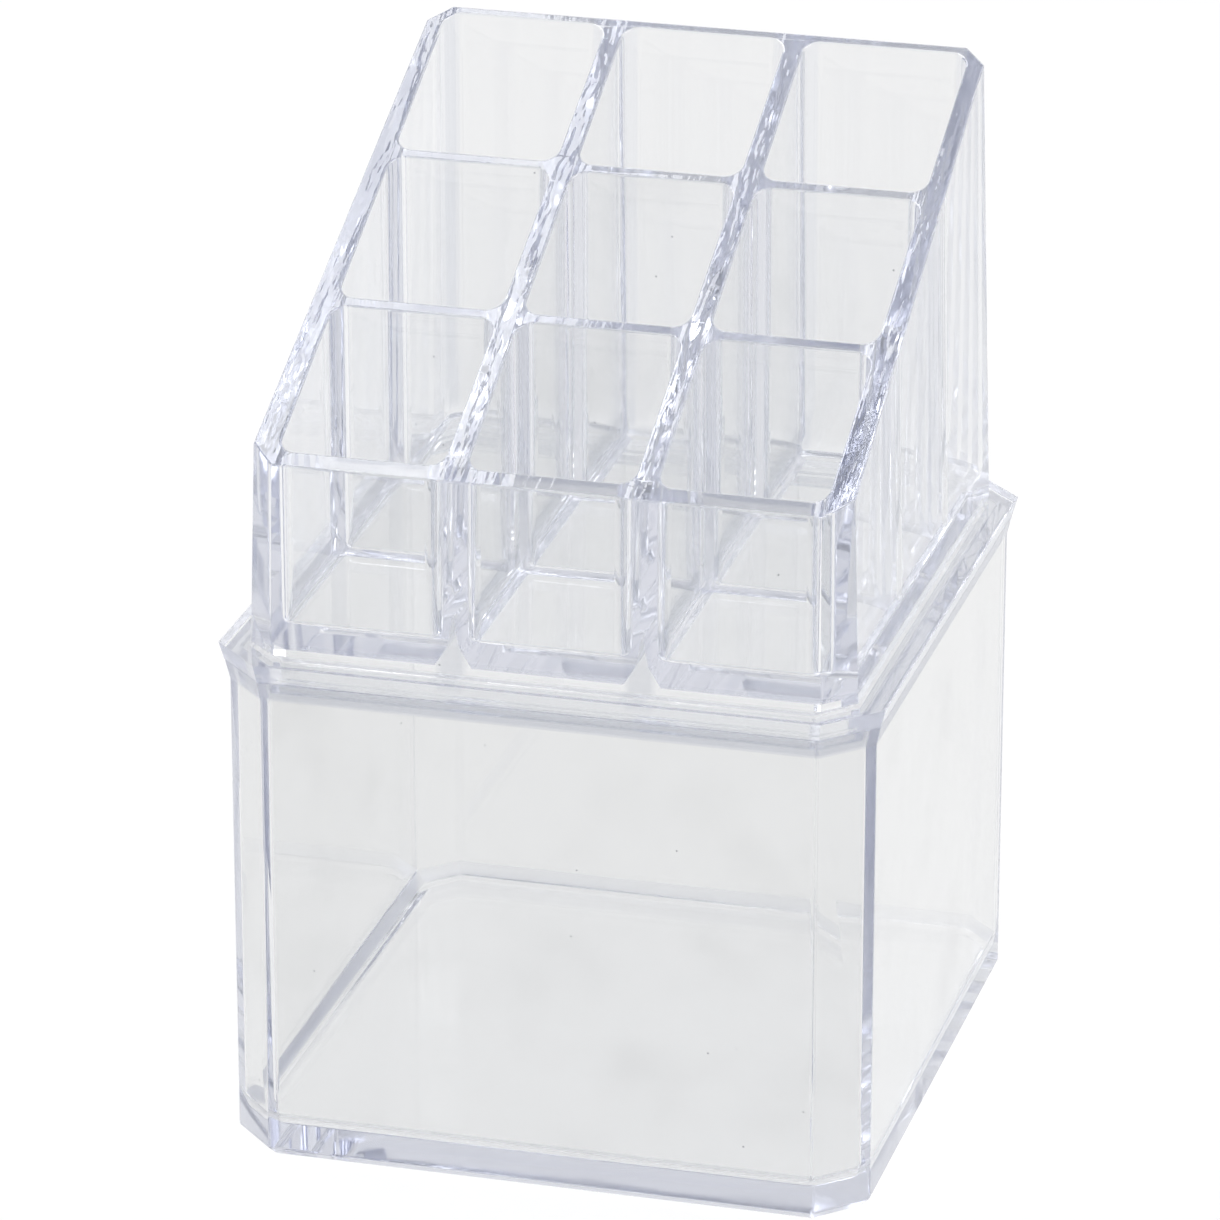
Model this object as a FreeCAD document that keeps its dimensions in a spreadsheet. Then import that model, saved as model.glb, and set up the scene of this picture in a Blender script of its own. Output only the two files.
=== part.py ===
import FreeCAD, Part
import Sketcher
import math
import os

# Clear vanity organizer: an open storage box under a lift-off lid that is moulded in one with a
# lipstick rack. Millimetres, +Z up, origin in the middle of the underside. The rack's low side is
# the front and faces -Y.

# Driving dimensions: name, value in millimetres, degrees or a count, and what it measures
SIZES = [
    ("body_width", 91.6, "box walls, outside, left to right"),
    ("body_depth", 95.6, "box walls, outside, front to back"),
    ("corner_cut", 6.5, "leg of the 45 degree cut on the upright corners of the box"),
    ("wall", 2.3, "thickness of the box walls"),
    ("floor_thickness", 4.4, "thickness of the box floor"),
    ("cavity_fillet", 2.4, "rounding between the box floor and its walls, inside"),
    ("foot_bevel", 1.5, "bevel round the underside"),
    ("box_height", 72.4, "underside to the rim that the lid rests on"),
    ("flare_height", 2.9, "height over which the rim leans outwards"),
    ("flare_reach", 0.65, "how far the rim leans out past the walls"),
    ("flange_thickness", 2.6, "lid flange, from the rim up to the ledge"),
    ("flange_reach", 0.7, "how far the flange leans out past the rim"),
    ("ridge_depth", 2.2, "locating ridge under the flange"),
    ("ridge_width", 1.8, "thickness of the locating ridge"),
    ("lid_clearance", 0.35, "gap all round between the ridge and the box walls"),
    ("ledge", 4.2, "width of the ledge between the flange edge and the foot of a centred rack"),
    ("rack_setback", 0.5, "how far the rack stands behind the middle of the lid"),
    ("rack_corner_cut", 4.2, "leg of the 45 degree cut on the upright corners of the rack"),
    ("rack_draft", 1.6, "lean of the rack's outer faces, degrees"),
    ("front_height", 27.2, "ledge to the slanted top, at the front line of the rack's foot"),
    ("back_height", 67.8, "ledge to the slanted top, at the back line of the rack's foot"),
    ("columns", 3, "pockets side by side"),
    ("rows", 3, "pockets front to back"),
    ("side_wall", 2.5, "rack side walls at the highest level"),
    ("end_wall", 1.6, "rack front and back walls at the highest level"),
    ("divider", 2.9, "walls between columns at the highest level"),
    ("cross_wall", 1.7, "walls between rows at the highest level"),
    ("pocket_draft", 0.3, "lean of the pocket walls, degrees"),
    ("pocket_radius", 2.5, "upright corners of a pocket at the highest level"),
    ("pocket_floor", 3.7, "pocket floor above the ledge"),
    ("floor_fillet", 0.8, "rounding between a pocket's floor and its walls"),
    ("edge_round", 0.4, "rounding of the edges of the slanted top"),
    ("recess_wall", 3.6, "wall between the hollow under the rack and the rack's foot"),
    ("groove_foot", 5.2, "width of the hollow under a divider at its mouth"),
    ("groove_waist", 1.7, "width of the hollow where its sides turn upright"),
    ("groove_waist_height", 2.8, "height of that turn above the ledge"),
    ("groove_height", 7.2, "height of the hollow under a divider above the ledge"),
]


def make_sheet(doc):
    """Write the driving dimensions into a spreadsheet, one named cell each."""
    sheet = doc.addObject("Spreadsheet::Sheet", "sizes")
    for row, (name, value, meaning) in enumerate(SIZES, start=1):
        sheet.set(f"A{row}", name)
        sheet.set(f"B{row}", str(value))
        sheet.setAlias(f"B{row}", name)
        sheet.set(f"C{row}", meaning)
    doc.recompute()


# Eight-sided outlines: formulas for width, depth and the leg of the 45 degree corner cuts
def grown(outline, reach):
    """An outline moved outwards evenly by a formula, or inwards where it is negative."""
    width, depth, cut = outline
    return f"{width} + 2 * ({reach})", f"{depth} + 2 * ({reach})", f"{cut} + (2 - sqrt(2)) * ({reach})"


WALL = ("sizes.body_width", "sizes.body_depth", "sizes.corner_cut")
CAVITY = grown(WALL, "-sizes.wall")
RIM = grown(WALL, "sizes.flare_reach")
FLANGE_TOP = grown(RIM, "sizes.flange_reach")
RIDGE = grown(CAVITY, "-sizes.lid_clearance")
RIDGE_INSIDE = grown(RIDGE, "-sizes.ridge_width")
RACK_WIDTH, RACK_DEPTH, _ = grown(FLANGE_TOP, "-sizes.ledge")
RACK_FOOT = (RACK_WIDTH, RACK_DEPTH, "sizes.rack_corner_cut")
RECESS = grown(RACK_FOOT, "-sizes.recess_wall")

# Lean of the rim, and heights of the box, and of the lid from the underside of its flange
FLARE = "atan(sizes.flare_reach / sizes.flare_height)"
FLARE_START = "sizes.box_height - sizes.flare_height"
LEDGE_LEVEL = "sizes.flange_thickness"
RACK_LEVEL = "sizes.flange_thickness + sizes.back_height"
POCKET_LENGTH = "sizes.back_height - sizes.pocket_floor"

# Pockets at the rack's highest level, where its outer faces have leaned in
LEAN = "sizes.back_height * tan(sizes.rack_draft)"
COLUMN_PITCH = f"({RACK_WIDTH} - 2 * {LEAN} - 2 * sizes.side_wall + sizes.divider) / sizes.columns"
ROW_PITCH = f"({RACK_DEPTH} - 2 * {LEAN} - 2 * sizes.end_wall + sizes.cross_wall) / sizes.rows"
POCKET_WIDTH = f"{COLUMN_PITCH} - sizes.divider"
POCKET_DEPTH = f"{ROW_PITCH} - sizes.cross_wall"


# Sketches. A sketch numbers its own axes and the points of a line or an arc, and its origin starts the
# level axis. Lines are first drawn at rough sizes; their dimensions then move them.
UPRIGHT_AXIS, LEVEL_AXIS = range(-2, 0)
ORIGIN = LEVEL_AXIS
START, END, CENTRE = range(1, 4)


def new_sketch(body, name, plane="XY_Plane", **offsets):
    """An empty sketch on one of the body's own planes, moved in it (x, y) and off it (z) by formulas."""
    sketch = body.newObject("Sketcher::SketchObject", name)
    support = next(item for item in body.Origin.OriginFeatures if item.Role == plane)
    sketch.AttachmentSupport = (support, [""])
    sketch.MapMode = "FlatFace"
    for direction, formula in offsets.items():
        sketch.setExpression(f"AttachmentOffset.Base.{direction}", formula)
    return sketch


def point(x, y):
    return FreeCAD.Vector(x, y, 0)


def rule(sketch, *terms):
    """Add a geometric constraint."""
    return sketch.addConstraint(Sketcher.Constraint(*terms))


def measure(sketch, name, formula, *terms):
    """Add a named dimension that follows a formula."""
    index = rule(sketch, *terms)
    sketch.renameConstraint(index, name)
    sketch.setExpression(f"Constraints.{name}", formula)


def add_polygon(sketch, corners):
    """Closed run of lines through the corners; returns the number of its first line."""
    count = len(corners)
    lines = [Part.LineSegment(point(*corners[i]), point(*corners[(i + 1) % count])) for i in range(count)]
    first = sketch.addGeometry(lines, False)[0]
    for i in range(count):
        rule(sketch, "Coincident", first + i, END, first + (i + 1) % count, START)
    return first


def add_octagon(sketch, outline, tag):
    """Rectangle with its corners cut at 45 degrees, centred on the sketch's origin."""
    width, depth, cut = outline
    side, leg = 40.0, 5.0
    flat = side - leg
    first = add_polygon(sketch, [(-flat, -side), (flat, -side), (side, -flat), (side, flat),
                                 (flat, side), (-flat, side), (-side, flat), (-side, -flat)])
    front, right, back, left = first, first + 2, first + 4, first + 6
    for line in (front, back):
        rule(sketch, "Symmetric", line, START, line, END, UPRIGHT_AXIS)
    for line in (right, left):
        rule(sketch, "Symmetric", line, START, line, END, LEVEL_AXIS)
    rule(sketch, "Symmetric", right, START, left, END, UPRIGHT_AXIS)
    rule(sketch, "Symmetric", front, END, back, START, LEVEL_AXIS)
    measure(sketch, f"{tag}_width", width, "DistanceX", left, END, right, START, 2 * side)
    measure(sketch, f"{tag}_depth", depth, "DistanceY", front, END, back, START, 2 * side)
    measure(sketch, f"{tag}_cut_across", cut, "DistanceX", front, END, right, START, leg)
    measure(sketch, f"{tag}_cut_along", cut, "DistanceY", front, END, right, START, leg)


def octagon(body, name, outline, height="0", back="0"):
    sketch = new_sketch(body, name, z=height, y=back)
    add_octagon(sketch, outline, "outline")
    return sketch


def add_rounded_rectangle(sketch, width, depth, radius):
    """Rectangle with round corners, centred on the sketch's origin."""
    side, turn = 12.0, 2.0
    flat = side - turn
    up = FreeCAD.Vector(0, 0, 1)
    corners = [(flat, -flat), (flat, flat), (-flat, flat), (-flat, -flat)]
    ends = [((-flat, -side), (flat, -side)), ((side, -flat), (side, flat)),
            ((flat, side), (-flat, side)), ((-side, flat), (-side, -flat))]
    for i in range(4):
        start = (i - 1) * math.pi / 2
        circle = Part.Circle(point(*corners[i]), up, turn)
        sketch.addGeometry(Part.LineSegment(point(*ends[i][0]), point(*ends[i][1])), False)
        sketch.addGeometry(Part.ArcOfCircle(circle, start, start + math.pi / 2), False)
    front, right, back, left = 0, 2, 4, 6
    for i in range(4):
        line, arc, after = 2 * i, 2 * i + 1, (2 * i + 2) % 8
        rule(sketch, "Tangent", line, END, arc, START)
        rule(sketch, "Tangent", arc, END, after, START)
    for line in (front, back):
        rule(sketch, "Horizontal", line)
    for line in (right, left):
        rule(sketch, "Vertical", line)
    front_arc, right_arc, back_arc, left_arc = 1, 3, 5, 7
    for arc in (right_arc, back_arc, left_arc):
        rule(sketch, "Equal", front_arc, arc)
    rule(sketch, "Symmetric", front_arc, CENTRE, back_arc, CENTRE, ORIGIN, START)
    measure(sketch, "radius", radius, "Radius", front_arc, turn)
    measure(sketch, "width", width, "DistanceX", left, START, right, START, 2 * side)
    measure(sketch, "depth", depth, "DistanceY", front, START, back, START, 2 * side)


# Features
def pad(body, name, sketch, length, taper="0", downwards=False):
    """Raise a sketch, widening by a taper in degrees."""
    feature = body.newObject("PartDesign::Pad", name)
    feature.Profile = sketch
    feature.setExpression("Length", length)
    feature.setExpression("TaperAngle", taper)
    feature.Reversed = downwards
    return feature


def pocket(body, name, sketch, length, taper="0", upwards=False):
    """Sink a sketch, widening by a taper in degrees."""
    feature = body.newObject("PartDesign::Pocket", name)
    feature.Profile = sketch
    feature.setExpression("Length", length)
    feature.setExpression("TaperAngle", taper)
    feature.Reversed = upwards
    return feature


def edge_names(shape, wanted):
    return [f"Edge{number}" for number, edge in enumerate(shape.Edges, start=1) if wanted(edge)]


def level_edges(shape, level):
    """Names of a shape's edges that lie flat at one height."""
    tolerance = 1e-4

    def lies_level(edge):
        box = edge.BoundBox
        return max(abs(box.ZMin - level), abs(box.ZMax - level)) < tolerance

    return edge_names(shape, lies_level)


def slanted_edges(shape):
    """Names of the edges of a shape's largest flat face that looks up at a slant."""
    least_rise, most_rise = 0.5, 0.99
    flat = [face for face in shape.Faces if isinstance(face.Surface, Part.Plane)]
    slanted = [face for face in flat if least_rise < face.normalAt(0, 0).z < most_rise]
    top = max(slanted, key=lambda face: face.Area)
    return edge_names(shape, lambda edge: any(edge.isSame(other) for other in top.Edges))


# The storage box
def make_storage_box(doc):
    body = doc.addObject("PartDesign::Body", "storage_box")
    body.Label = "storage_box"
    block = pad(body, "walls", octagon(body, "wall_outline", WALL), FLARE_START)
    doc.recompute()
    bevel = body.newObject("PartDesign::Chamfer", "foot_bevel")
    bevel.Base = (block, level_edges(block.Shape, 0))
    bevel.setExpression("Size", "sizes.foot_bevel")
    pad(body, "rim_flare", octagon(body, "flare_outline", WALL, FLARE_START), "sizes.flare_height", FLARE)
    cavity = octagon(body, "cavity_outline", CAVITY, FLARE_START)
    pocket(body, "cavity", cavity, f"{FLARE_START} - sizes.floor_thickness")
    outline = octagon(body, "mouth_outline", CAVITY, FLARE_START)
    mouth = pocket(body, "mouth", outline, "sizes.flare_height", FLARE, upwards=True)
    doc.recompute()
    corner = body.newObject("PartDesign::Fillet", "cavity_floor")
    corner.Base = (mouth, level_edges(mouth.Shape, doc.sizes.floor_thickness))
    corner.setExpression("Radius", "sizes.cavity_fillet")
    body.Tip = corner
    return body


# The lid with its lipstick rack, seated on the rim of the box
def add_flange(body):
    pad(body, "flange", octagon(body, "flange_outline", RIM), LEDGE_LEVEL,
        "atan(sizes.flange_reach / sizes.flange_thickness)")
    ring = octagon(body, "ridge_outline", RIDGE)
    add_octagon(ring, RIDGE_INSIDE, "inside")
    pad(body, "locating_ridge", ring, "sizes.ridge_depth", downwards=True)


def add_rack_block(body):
    """Leaning block with a slanted top, higher at the back."""
    foot = octagon(body, "rack_foot", RACK_FOOT, LEDGE_LEVEL, "sizes.rack_setback")
    pad(body, "rack_block", foot, "sizes.back_height", "-sizes.rack_draft")
    sketch = new_sketch(body, "slant_outline", "YZ_Plane", x="sizes.rack_setback")
    low, high, reach = 30.0, 70.0, 40.0
    slope = add_polygon(sketch, [(-reach, low), (reach, high), (-reach, high)])
    level, upright = slope + 1, slope + 2
    rule(sketch, "Vertical", upright)
    rule(sketch, "Symmetric", level, START, level, END, UPRIGHT_AXIS)
    front_top = f"{LEDGE_LEVEL} + sizes.front_height"
    measure(sketch, "depth", RACK_DEPTH, "DistanceX", level, END, level, START, 2 * reach)
    measure(sketch, "front", front_top, "DistanceY", ORIGIN, START, slope, START, low)
    measure(sketch, "back", RACK_LEVEL, "DistanceY", ORIGIN, START, slope, END, high)
    cut = pocket(body, "slanted_top", sketch, RACK_WIDTH)
    cut.Midplane = True


def add_underside(body):
    """Hollow inside the locating ridge, and the wedge-shaped hollows under the dividers."""
    recess = octagon(body, "recess_outline", RECESS, back="sizes.rack_setback")
    pocket(body, "recess", recess, LEDGE_LEVEL, upwards=True)
    sketch = new_sketch(body, "groove_outline", "XZ_Plane", z="-sizes.rack_setback")
    foot, waist, base, turn, top = 3.0, 1.0, 3.0, 6.0, 10.0
    mouth = add_polygon(sketch, [(-foot, base), (foot, base), (waist, turn), (0, top), (-waist, turn)])
    right, left = mouth + 2, mouth + 3
    axis = sketch.addGeometry(Part.LineSegment(point(0, base), point(0, top)), True)
    rule(sketch, "Vertical", axis)
    rule(sketch, "Coincident", axis, END, right, END)
    rule(sketch, "PointOnObject", axis, START, mouth)
    rule(sketch, "Symmetric", mouth, START, mouth, END, axis)
    rule(sketch, "Symmetric", left, END, right, START, axis)
    first = f"({COLUMN_PITCH}) * (sizes.columns - 2) / 2"
    measure(sketch, "place", first, "DistanceX", right, END, ORIGIN, START, 0.0)
    measure(sketch, "level", LEDGE_LEVEL, "DistanceY", ORIGIN, START, mouth, START, base)
    measure(sketch, "foot", "sizes.groove_foot", "DistanceX", mouth, START, mouth, END, 2 * foot)
    measure(sketch, "waist", "sizes.groove_waist", "DistanceX", left, END, right, START, 2 * waist)
    measure(sketch, "turn", "sizes.groove_waist_height", "DistanceY", mouth, END, right, START, turn - base)
    measure(sketch, "top", "sizes.groove_height", "DistanceY", mouth, END, right, END, top - base)
    groove = pocket(body, "divider_hollow", sketch, f"{RACK_DEPTH} - 2 * sizes.recess_wall")
    groove.Midplane = True
    row = body.newObject("PartDesign::LinearPattern", "divider_hollows")
    row.Originals = [groove]
    row.Direction = (sketch, ["H_Axis"])
    row.Mode = "Spacing"
    row.setExpression("Offset", COLUMN_PITCH)
    row.setExpression("Occurrences", "sizes.columns - 1")
    body.Tip = row


def add_pockets(doc, body):
    """Grid of drafted pockets, cut from the highest level down to their floors."""
    left = f"-({COLUMN_PITCH}) * (sizes.columns - 1) / 2"
    front = f"sizes.rack_setback - ({ROW_PITCH}) * (sizes.rows - 1) / 2"
    sketch = new_sketch(body, "pocket_outline", x=left, y=front, z=RACK_LEVEL)
    add_rounded_rectangle(sketch, POCKET_WIDTH, POCKET_DEPTH, "sizes.pocket_radius")
    first = pocket(body, "first_pocket", sketch, POCKET_LENGTH, "-sizes.pocket_draft")
    grid = body.newObject("PartDesign::LinearPattern", "pockets")
    grid.Originals = [first]
    grid.Direction = (sketch, ["H_Axis"])
    grid.setExpression("Length", f"({COLUMN_PITCH}) * (sizes.columns - 1)")
    grid.setExpression("Occurrences", "sizes.columns")
    grid.Direction2 = (sketch, ["V_Axis"])
    grid.setExpression("Length2", f"({ROW_PITCH}) * (sizes.rows - 1)")
    grid.setExpression("Occurrences2", "sizes.rows")
    body.Tip = grid
    doc.recompute()
    level = doc.sizes.flange_thickness + doc.sizes.pocket_floor
    floors = body.newObject("PartDesign::Fillet", "pocket_floors")
    floors.Base = (grid, level_edges(grid.Shape, level))
    floors.setExpression("Radius", "sizes.floor_fillet")
    doc.recompute()
    edges = body.newObject("PartDesign::Fillet", "top_edges")
    edges.Base = (floors, slanted_edges(floors.Shape))
    edges.setExpression("Radius", "sizes.edge_round")
    body.Tip = edges


def make_lipstick_lid(doc):
    body = doc.addObject("PartDesign::Body", "lipstick_lid")
    body.Label = "lipstick_lid"
    body.setExpression("Placement.Base.z", "sizes.box_height")
    add_flange(body)
    add_rack_block(body)
    add_underside(body)
    add_pockets(doc, body)
    return body


# Tests before anything is written
def check_features(body):
    """Each feature has to add or remove material, as its kind says."""
    for feature in body.Group:
        base = getattr(feature, "BaseFeature", None)
        if base is None or feature.TypeId == "PartDesign::Fillet":
            continue
        change = feature.Shape.Volume - base.Shape.Volume
        wrong = change <= 0 if feature.TypeId == "PartDesign::Pad" else change >= 0
        if wrong:
            raise RuntimeError(f"{body.Label}: {feature.Name} changed the volume by {change:.3f}")


def check_document(doc, bodies):
    for item in doc.Objects:
        if "Invalid" in item.State or "Error" in item.State:
            raise RuntimeError(f"{item.Name} failed: {item.State}")
    for body in bodies:
        if body.Shape.isNull() or not body.Shape.isValid() or len(body.Shape.Solids) != 1:
            raise RuntimeError(f"{body.Label} is not one valid solid")
        check_features(body)


def main():
    doc = FreeCAD.newDocument("vanity_organizer")
    make_sheet(doc)
    bodies = [make_storage_box(doc), make_lipstick_lid(doc)]
    doc.recompute()
    check_document(doc, bodies)
    os.makedirs("parts", exist_ok=True)
    for body in bodies:
        body.Shape.exportStep(f"parts/{body.Label}.step")
        box = body.Shape.BoundBox
        print(f"{body.Label}: {box.XLength:.2f} x {box.YLength:.2f} x {box.ZLength:.2f} mm,"
              f" from z {box.ZMin:.2f}, {body.Shape.Volume / 1000:.1f} cm3")


main()
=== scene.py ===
import math

import bpy
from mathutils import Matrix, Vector


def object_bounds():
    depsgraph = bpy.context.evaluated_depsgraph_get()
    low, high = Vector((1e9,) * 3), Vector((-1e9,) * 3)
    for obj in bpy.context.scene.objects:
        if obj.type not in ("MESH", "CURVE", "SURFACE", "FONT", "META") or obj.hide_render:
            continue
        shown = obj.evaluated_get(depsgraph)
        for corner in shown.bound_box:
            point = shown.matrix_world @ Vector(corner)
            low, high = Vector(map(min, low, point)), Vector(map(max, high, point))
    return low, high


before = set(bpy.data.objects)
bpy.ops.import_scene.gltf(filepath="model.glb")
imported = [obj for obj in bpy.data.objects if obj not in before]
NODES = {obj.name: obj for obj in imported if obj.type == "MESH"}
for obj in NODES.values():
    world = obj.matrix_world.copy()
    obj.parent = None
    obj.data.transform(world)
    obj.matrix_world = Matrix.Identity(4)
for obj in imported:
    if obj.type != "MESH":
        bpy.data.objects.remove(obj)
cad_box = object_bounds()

MM = 0.001
LOW, HIGH = cad_box
CENTRE = (LOW + HIGH) / 2

# Where the photograph was taken from: degrees, metres and millimetres of focal length
VIEW_AZIMUTH = 15.273
VIEW_ELEVATION = 21.743
VIEW_DISTANCE = 1.01777
LENS = 212.5
SENSOR = 36.0
AIM_HEIGHT = 72.0 * MM
AIM_RIGHT = -2.612 * MM
AIM_UP = -3.228 * MM

# Plastic of the box and of the lid: its colour, and the height of its ripples in mm
BOX_COLOUR, BOX_RIPPLE = (0.885, 0.888, 0.888), 0.0
LID_COLOUR, LID_RIPPLE = (0.955, 0.958, 0.96), 0.13
# Painted shade, as colours: where either piece turns, along the box's rim, on the rack's back wall
# and on its slanted tops
BEND_PAINTED_SHADE = (0.80, 0.812, 0.84)
RIM_PAINTED_SHADE = (0.70, 0.715, 0.765)
BACK_PAINTED_SHADE = (0.87, 0.873, 0.876)
SLANT_PAINTED_SHADE = (0.62, 0.635, 0.67)
# Refraction of styrene, its tint for light inside it, and what a face lets through for shadows
REFRACTION = 1.57
TINT, TINT_DENSITY = (0.75, 0.765, 0.835, 1), 14.0
SHADOW = (0.97, 0.975, 0.98, 1)

# Dust moulded in: cells per metre with one speck each, a speck's radius, and its fully dark share
SPECK_CELLS = 130.0
SPECK_RADIUS = 0.2 * MM
SPECK_CORE = 0.6
SPECK_COLOUR = (0.30, 0.31, 0.33)
# Smudges: cells per metre, noise between which they set in, colour they leave, added roughness
SMUDGE_CELLS, SMUDGE_DETAIL = 45.0, 4.0
SMUDGE_RANGE = (0.5, 0.75)
SMUDGE_SHADE = 0.95
SMUDGE_DULL = 0.05
# Scratches: cells per metre, how they crowd front to back, noise between which they set in, and
# roughness beside and on them
SCRATCH_CELLS, SCRATCH_STRETCH = 90.0, (1, 14, 1)
SCRATCH_RANGE = (0.70, 0.76)
POLISH, SCRATCH_DULL = 0.02, 0.12
# Waves in every face and ripples in the lid: cells per metre, height in mm, and stretch
FINE_DETAIL = 2.0
WAVE_CELLS, WAVE_HEIGHT = 60.0, 0.018
RIPPLE_CELLS, RIPPLE_STRETCH = 400.0, (1.5, 0.3, 0.3)
# Share of the ripples on level faces, and on the tops between the walls that run front to back
LEVEL_SHARE, CROSS_SHARE = 0.03, 0.14

# Levelness of a face, 0 for upright to 1 for level, at which each effect sets in and ends
RIPPLE_ON, RIPPLE_OFF = (0.3, 0.5), (0.94, 0.98)
TURN_ON, TURN_OFF = (0.1, 0.2), (0.75, 0.98)
SLANT_ON, SLANT_OFF = (0.8, 0.88), (0.93, 0.97)
# How far a face looks to two sides at once, between which it counts as a corner
CORNER_ON = (0.15, 0.35)
# Distance of the dividers from the middle, what counts as in line with them, and the side walls
DIVIDER_PLACE = 13.3 * MM
DIVIDER_EDGE = (1.54 * MM, 2.2 * MM)
SIDE_START = (36.86 * MM, 38.0 * MM)
# Heights: where the painted shade and dulling of turning faces start above the foot, and where the
# rounding round the box's floor ends
TURN_START = (3.0 * MM, 4.0 * MM)
ROUNDING_END = (7.5 * MM, 8.5 * MM)
# Heights: the foot and top of the box's rim, and the top of the flange that goes on with it
RIM_FOOT, RIM_TOP = (69.3 * MM, 69.6 * MM), (72.35 * MM, 72.45 * MM)
FLANGE_TOP = (75.2 * MM, 75.6 * MM)
# Heights: the hollows under the dividers, and where the rack's pockets start
HOLLOW_FOOT, HOLLOW_TOP = (72.6 * MM, 73.6 * MM), (82.0 * MM, 84.0 * MM)
RACK_START = (79.0 * MM, 81.0 * MM)
# Where the rack's back wall starts, front to back
BACK_START = (40.5 * MM, 41.5 * MM)
# Roughness of the rounding round the box's floor, and of the rim and flange
ROUNDING_DULL = 0.5
RIM_DULL = 0.22

# Edge rounding, and the film of air that keeps the two pieces' faces apart
WELD_REACH = 0.001 * MM
AIR_FILM = 0.04 * MM
EDGE_WIDTH, EDGE_STEPS, EDGE_ANGLE = 0.3 * MM, 3, math.radians(30)

# Floor: size in metres, gap below the object, grey, and share of plain white where it is seen
FLOOR_SIZE = 6.0
FLOOR_GAP = 0.1 * MM
FLOOR_GREY = (0.8, 0.8, 0.8, 1)
WHITE_SHARE = 0.82
# Studio: white low down all round and grey overhead; heights are sines
SKY = [(0.62, (1, 1, 1)), (0.88, (0.5, 0.51, 0.53))]
# Lamps: place and size in metres, power in watts
LAMP_SIZE = (0.8, 0.8)
KEY_PLACE, KEY_POWER = (-0.75, 0.27, 1.1), 10.0
FILL_PLACE, FILL_POWER = (0.9, -0.3, 0.9), 5.0
# Bounces that light needs to get through every wall of the rack
MOST_BOUNCES = 96


# Node helpers
# Sockets that share a name: the four ends of a range's input and output, two colours, their mix
RANGE_ENDS = slice(1, 5)
MIX_COLOURS, MIXED_COLOUR = slice(6, 8), 2


def node(tree, kind, **values):
    """A new shader node, with its properties or plain input values set by name."""
    made = tree.nodes.new(kind)
    for name, value in values.items():
        if hasattr(made, name):
            setattr(made, name, value)
        else:
            made.inputs[name.replace("_", " ")].default_value = value
    return made


def link(tree, source, target):
    tree.links.new(source, target)


def new_tree(owner):
    """The emptied node tree of a material or world."""
    owner.use_nodes = True
    owner.node_tree.nodes.clear()
    return owner.node_tree


def math_node(tree, operation, first, second):
    """A sum, product and so on of two sockets or numbers."""
    made = node(tree, "ShaderNodeMath", operation=operation)
    for socket, value in zip(made.inputs, (first, second)):
        if isinstance(value, (int, float)):
            socket.default_value = value
        else:
            link(tree, value, socket)
    return made.outputs[0]


def product(tree, first, second):
    return math_node(tree, "MULTIPLY", first, second)


def larger(tree, first, second):
    return math_node(tree, "MAXIMUM", first, second)


def size_of(tree, value):
    return math_node(tree, "ABSOLUTE", value, 0.0)


def part_of(tree, vector, axis):
    axes = node(tree, "ShaderNodeSeparateXYZ")
    link(tree, vector, axes.inputs[0])
    return axes.outputs[axis]


def step(tree, value, low, high, least=0.0, most=1.0):
    """A value brought from one range into another, smoothly and without going past its ends."""
    made = node(tree, "ShaderNodeMapRange", interpolation_type="SMOOTHSTEP")
    for socket, number in zip(made.inputs[RANGE_ENDS], (low, high, least, most)):
        socket.default_value = number
    link(tree, value, made.inputs["Value"])
    return made.outputs[0]


def between(tree, value, rise, fall, after=0.0):
    """0 before the rise, 1 from there to the fall, and after past that."""
    rising, falling = step(tree, value, *rise), step(tree, value, *fall, 1.0, after)
    return math_node(tree, "MINIMUM", rising, falling)


def noise(tree, place, scale, detail, stretch=(1, 1, 1)):
    """Noise in the part's own space: scale in cells per metre, stretched along its axes."""
    mapping = node(tree, "ShaderNodeMapping", Scale=stretch)
    link(tree, place, mapping.inputs["Vector"])
    made = node(tree, "ShaderNodeTexNoise", Scale=scale, Detail=detail)
    link(tree, mapping.outputs[0], made.inputs["Vector"])
    return made.outputs["Fac"]


def blended(tree, factor, first, second):
    """A mix of two colours, each a socket or plain numbers."""
    mix = node(tree, "ShaderNodeMix", data_type="RGBA")
    link(tree, factor, mix.inputs[0])
    for socket, colour in zip(mix.inputs[MIX_COLOURS], (first, second)):
        if isinstance(colour, tuple):
            socket.default_value = (*colour, 1)
        else:
            link(tree, colour, socket)
    return mix.outputs[MIXED_COLOUR]


def mixed_shader(tree, factor, first, second):
    mix = node(tree, "ShaderNodeMixShader")
    for source, socket in zip((factor, first.outputs[0], second.outputs[0]), mix.inputs):
        link(tree, source, socket)
    return mix.outputs[0]


# Places on the plastic
def facing(tree, axis):
    return part_of(tree, node(tree, "ShaderNodeNewGeometry").outputs["Normal"], axis)


def levelness(tree):
    """1 on level faces, 0 on upright ones and in between on those that lean."""
    return size_of(tree, facing(tree, "Z"))


def in_rack(tree, place):
    """1 from the pocket floors up, and 0 below."""
    return step(tree, part_of(tree, place, "Z"), *RACK_START)


def cornered(tree, place):
    """1 on the rack's faces that look two ways at once, as cut and rounded corners do."""
    both = size_of(tree, product(tree, facing(tree, "X"), facing(tree, "Y")))
    return product(tree, step(tree, both, *CORNER_ON), in_rack(tree, place))


def along_dividers(tree, across, least):
    """1 in line with the rack's dividers, and least beside them."""
    beside = size_of(tree, math_node(tree, "SUBTRACT", across, DIVIDER_PLACE))
    return step(tree, beside, *DIVIDER_EDGE, 1.0, least)


def along_walls(tree, place):
    """1 on the rack's dividers and side walls, and less between them."""
    across = size_of(tree, part_of(tree, place, "X"))
    sides = step(tree, across, *SIDE_START, CROSS_SHARE, 1.0)
    return larger(tree, along_dividers(tree, across, CROSS_SHARE), sides)


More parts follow.
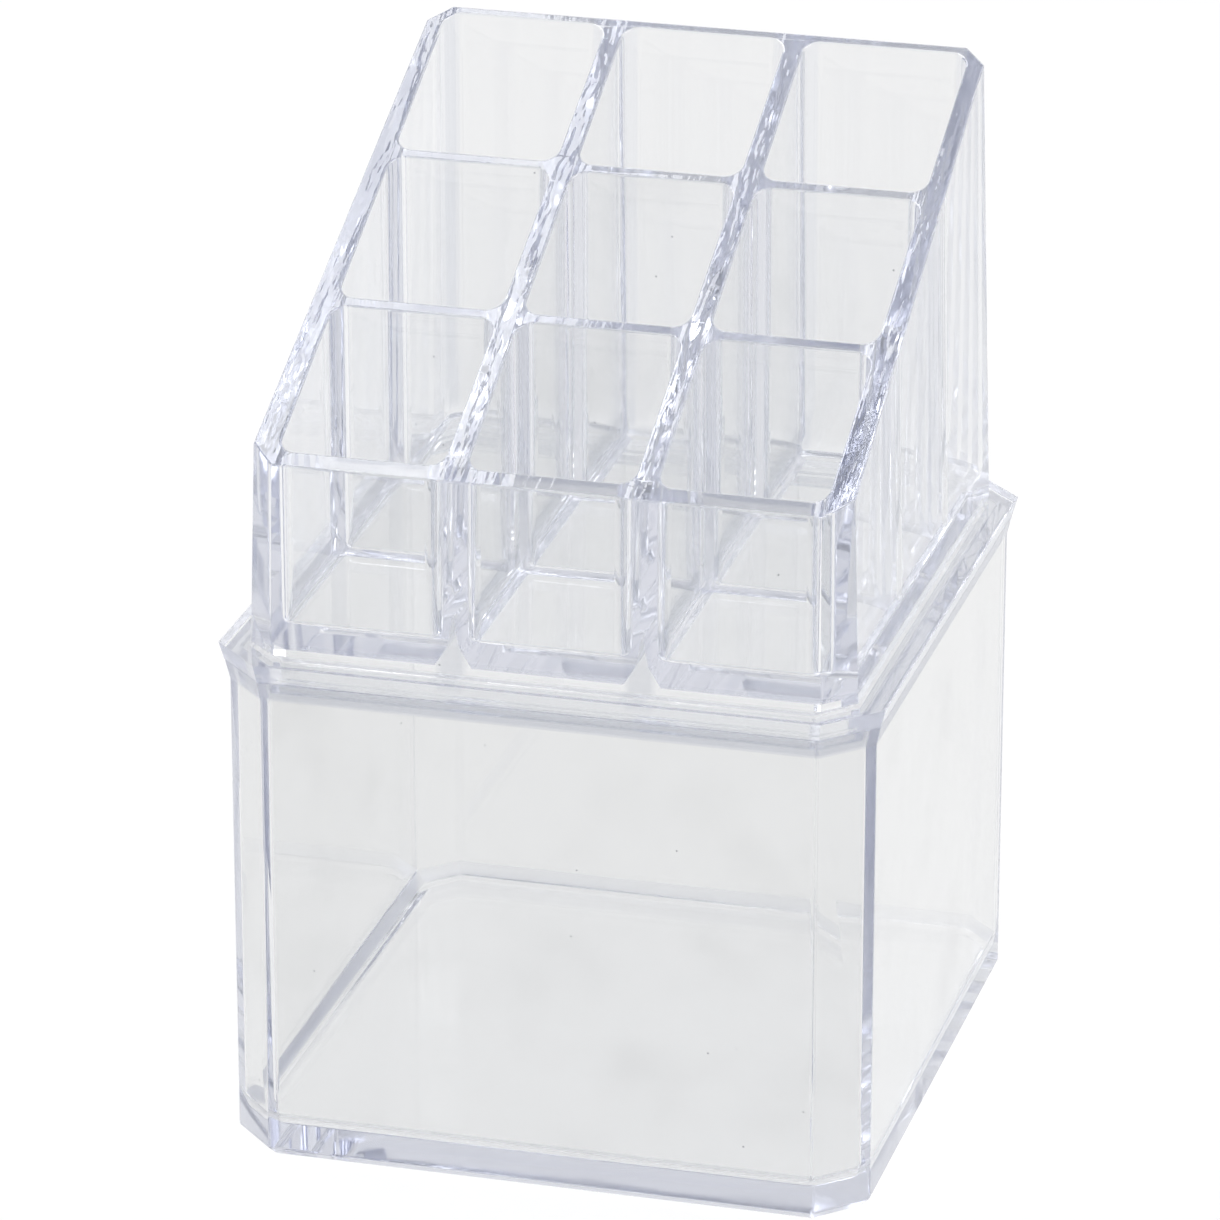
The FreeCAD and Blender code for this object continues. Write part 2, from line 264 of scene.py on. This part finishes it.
def rippled(tree, place):
    """1 on the slanted tops of the rack's walls, less on level faces and 0 on upright ones."""
    leaning = between(tree, levelness(tree), RIPPLE_ON, RIPPLE_OFF, LEVEL_SHARE)
    return product(tree, leaning, along_walls(tree, place))


def turning(tree, place):
    """1 where walls turn into floors and where faces lean, and 0 on the foot."""
    leaning = between(tree, levelness(tree), TURN_ON, TURN_OFF)
    return product(tree, leaning, step(tree, part_of(tree, place, "Z"), *TURN_START))


def under_dividers(tree, place):
    """1 in the hollows under the rack's dividers."""
    across = size_of(tree, part_of(tree, place, "X"))
    rising = between(tree, part_of(tree, place, "Z"), HOLLOW_FOOT, HOLLOW_TOP)
    return product(tree, rising, along_dividers(tree, across, 0.0))


def painted_bend_shade(tree, place):
    """Mask of painted shade: 1 where the plastic turns, at the rack's corners and in the hollows
    under its dividers.
    """
    bends = larger(tree, turning(tree, place), cornered(tree, place))
    return larger(tree, bends, under_dividers(tree, place))


def floor_rounding(tree, place):
    """1 on the rounding between the box's floor and its walls."""
    low = step(tree, part_of(tree, place, "Z"), *ROUNDING_END, 1.0, 0.0)
    return product(tree, turning(tree, place), low)


def at_rim(tree, place, top):
    """1 where faces lean from the foot of the box's rim up to a top."""
    high = between(tree, part_of(tree, place, "Z"), RIM_FOOT, top)
    return product(tree, turning(tree, place), high)


def slanted(tree, place):
    """1 on the slanted tops of the rack's walls."""
    leaning = between(tree, levelness(tree), SLANT_ON, SLANT_OFF)
    return product(tree, leaning, in_rack(tree, place))


def at_back(tree, place):
    """1 on the rack's back wall."""
    behind = step(tree, part_of(tree, place, "Y"), *BACK_START)
    return product(tree, behind, in_rack(tree, place))


# Clear moulded plastic
def speckled(tree, place):
    """1 on a few tiny specks of dust."""
    cells = node(tree, "ShaderNodeTexVoronoi", Scale=SPECK_CELLS)
    link(tree, place, cells.inputs["Vector"])
    radius = SPECK_RADIUS * SPECK_CELLS
    return step(tree, cells.outputs["Distance"], SPECK_CORE * radius, radius, 1.0, 0.0)


def plastic_colour(tree, place, smudge, colour):
    """The plastic's colour with faint smudges, painted shade on bends, rim, back wall and slanted
    tops, and a few tiny dark specks.
    """
    smudged = tuple(SMUDGE_SHADE * part for part in colour)
    mixed = blended(tree, smudge, colour, smudged)
    # Painted shade: the rack's back wall is greyer
    mixed = blended(tree, at_back(tree, place), mixed, BACK_PAINTED_SHADE)
    # Painted shade where the plastic turns, at the rack's corners and in the hollows under its
    # dividers
    mixed = blended(tree, painted_bend_shade(tree, place), mixed, BEND_PAINTED_SHADE)
    # Painted shade on the box's rim
    mixed = blended(tree, at_rim(tree, place, RIM_TOP), mixed, RIM_PAINTED_SHADE)
    # Painted shade on the slanted tops of the rack's walls
    mixed = blended(tree, slanted(tree, place), mixed, SLANT_PAINTED_SHADE)
    return blended(tree, speckled(tree, place), mixed, SPECK_COLOUR)


def roughness(tree, place, smudge):
    """Polish with fine scratches and duller smudges, and dull where the box's floor and rim turn."""
    lines = noise(tree, place, SCRATCH_CELLS, FINE_DETAIL, SCRATCH_STRETCH)
    scratched = step(tree, lines, *SCRATCH_RANGE, POLISH, SCRATCH_DULL)
    dulled = math_node(tree, "ADD", product(tree, smudge, SMUDGE_DULL), scratched)
    rounding = product(tree, floor_rounding(tree, place), ROUNDING_DULL)
    rim = product(tree, at_rim(tree, place, FLANGE_TOP), RIM_DULL)
    return larger(tree, dulled, larger(tree, rounding, rim))


def relief(tree, place, ripple_height):
    """Long waves all over, and ripples on the tops of the rack's walls."""
    wave = product(tree, noise(tree, place, WAVE_CELLS, FINE_DETAIL), WAVE_HEIGHT)
    ripples = noise(tree, place, RIPPLE_CELLS, FINE_DETAIL, RIPPLE_STRETCH)
    ripple = product(tree, product(tree, ripples, ripple_height), rippled(tree, place))
    height = math_node(tree, "ADD", wave, ripple)
    bump = node(tree, "ShaderNodeBump", Strength=1.0, Distance=MM)
    link(tree, height, bump.inputs["Height"])
    return bump.outputs[0]


def clear_plastic(name, colour, ripple_height):
    """Tinted plastic with relief, whose shadows are those of thin clear sheets."""
    material = bpy.data.materials.new(name)
    tree = new_tree(material)
    output = node(tree, "ShaderNodeOutputMaterial")
    shader = node(tree, "ShaderNodeBsdfPrincipled", IOR=REFRACTION, Transmission_Weight=1.0)
    place = node(tree, "ShaderNodeTexCoord").outputs["Object"]
    smudge = step(tree, noise(tree, place, SMUDGE_CELLS, SMUDGE_DETAIL), *SMUDGE_RANGE)
    link(tree, plastic_colour(tree, place, smudge, colour), shader.inputs["Base Color"])
    link(tree, roughness(tree, place, smudge), shader.inputs["Roughness"])
    link(tree, relief(tree, place, ripple_height), shader.inputs["Normal"])
    clear = node(tree, "ShaderNodeBsdfTransparent", Color=SHADOW)
    shadow_ray = node(tree, "ShaderNodeLightPath").outputs["Is Shadow Ray"]
    link(tree, mixed_shader(tree, shadow_ray, shader, clear), output.inputs["Surface"])
    tint = node(tree, "ShaderNodeVolumeAbsorption", Color=TINT, Density=TINT_DENSITY)
    link(tree, tint.outputs[0], output.inputs["Volume"])
    return material


def dress(piece, material):
    """The material, joined-up faces, a film of air round the piece and fine rounding of its edges."""
    piece.data.materials.clear()
    piece.data.materials.append(material)
    weld = piece.modifiers.new("weld", "WELD")
    weld.merge_threshold = WELD_REACH
    air = piece.modifiers.new("air film", "DISPLACE")
    air.strength = -AIR_FILM
    air.mid_level = 0.0
    bevel = piece.modifiers.new("edges", "BEVEL")
    bevel.width = EDGE_WIDTH
    bevel.segments = EDGE_STEPS
    bevel.limit_method = "ANGLE"
    bevel.angle_limit = EDGE_ANGLE


# Stage
def seen_directly(tree):
    """1 for rays from the camera, also by way of gloss or clear plastic, and 0 for other light."""
    path = node(tree, "ShaderNodeLightPath")
    shiny = larger(tree, path.outputs["Is Glossy Ray"], path.outputs["Is Transmission Ray"])
    return larger(tree, path.outputs["Is Camera Ray"], shiny)


def make_floor():
    bpy.ops.mesh.primitive_plane_add(size=FLOOR_SIZE, location=(0, 0, LOW.z - FLOOR_GAP))
    floor = bpy.context.object
    floor.name = "floor"
    material = bpy.data.materials.new("floor_white")
    tree = new_tree(material)
    output = node(tree, "ShaderNodeOutputMaterial")
    lit = node(tree, "ShaderNodeBsdfDiffuse", Color=FLOOR_GREY)
    white = node(tree, "ShaderNodeEmission", Color=(1, 1, 1, 1), Strength=1.0)
    share = product(tree, seen_directly(tree), WHITE_SHARE)
    link(tree, mixed_shader(tree, share, lit, white), output.inputs["Surface"])
    floor.data.materials.append(material)


def make_world():
    world = bpy.data.worlds.new("studio")
    bpy.context.scene.world = world
    tree = new_tree(world)
    output = node(tree, "ShaderNodeOutputWorld")
    background = node(tree, "ShaderNodeBackground", Strength=1.0)
    place = node(tree, "ShaderNodeTexCoord").outputs["Generated"]
    ramp = node(tree, "ShaderNodeValToRGB")
    for stop, (height, colour) in zip(ramp.color_ramp.elements, SKY):
        stop.position = height
        stop.color = (*colour, 1)
    link(tree, part_of(tree, place, "Z"), ramp.inputs["Fac"])
    link(tree, ramp.outputs["Color"], background.inputs["Color"])
    link(tree, background.outputs[0], output.inputs["Surface"])


def make_lamp(name, place, power):
    lamp = bpy.data.lights.new(name, "AREA")
    lamp.shape = "RECTANGLE"
    lamp.size, lamp.size_y = LAMP_SIZE
    lamp.energy = power
    holder = bpy.data.objects.new(name, lamp)
    bpy.context.scene.collection.objects.link(holder)
    holder.location = place
    holder.rotation_euler = (CENTRE - Vector(place)).to_track_quat("-Z", "Y").to_euler()


def make_camera():
    azimuth, elevation = math.radians(VIEW_AZIMUTH), math.radians(VIEW_ELEVATION)
    level = math.cos(elevation)
    back = Vector((math.sin(azimuth) * level, -math.cos(azimuth) * level, math.sin(elevation)))
    right = Vector((math.cos(azimuth), math.sin(azimuth), 0))
    up = back.cross(right)
    aim = Vector((0, 0, LOW.z + AIM_HEIGHT)) + right * AIM_RIGHT + up * AIM_UP
    data = bpy.data.cameras.new("camera")
    data.lens = LENS
    data.sensor_width = SENSOR
    camera = bpy.data.objects.new("camera", data)
    bpy.context.scene.collection.objects.link(camera)
    camera.location = aim + back * VIEW_DISTANCE
    camera.rotation_euler = (-back).to_track_quat("-Z", "Y").to_euler()
    bpy.context.scene.camera = camera


def set_render():
    scene = bpy.context.scene
    scene.view_settings.view_transform = "Standard"
    scene.cycles.max_bounces = MOST_BOUNCES
    scene.cycles.transmission_bounces = MOST_BOUNCES
    scene.cycles.glossy_bounces = MOST_BOUNCES
    scene.cycles.transparent_max_bounces = MOST_BOUNCES


dress(NODES["storage_box"], clear_plastic("box_plastic", BOX_COLOUR, BOX_RIPPLE))
dress(NODES["lipstick_lid"], clear_plastic("lid_plastic", LID_COLOUR, LID_RIPPLE))
make_floor()
make_world()
make_lamp("key", KEY_PLACE, KEY_POWER)
make_lamp("fill", FILL_PLACE, FILL_POWER)
make_camera()
set_render()
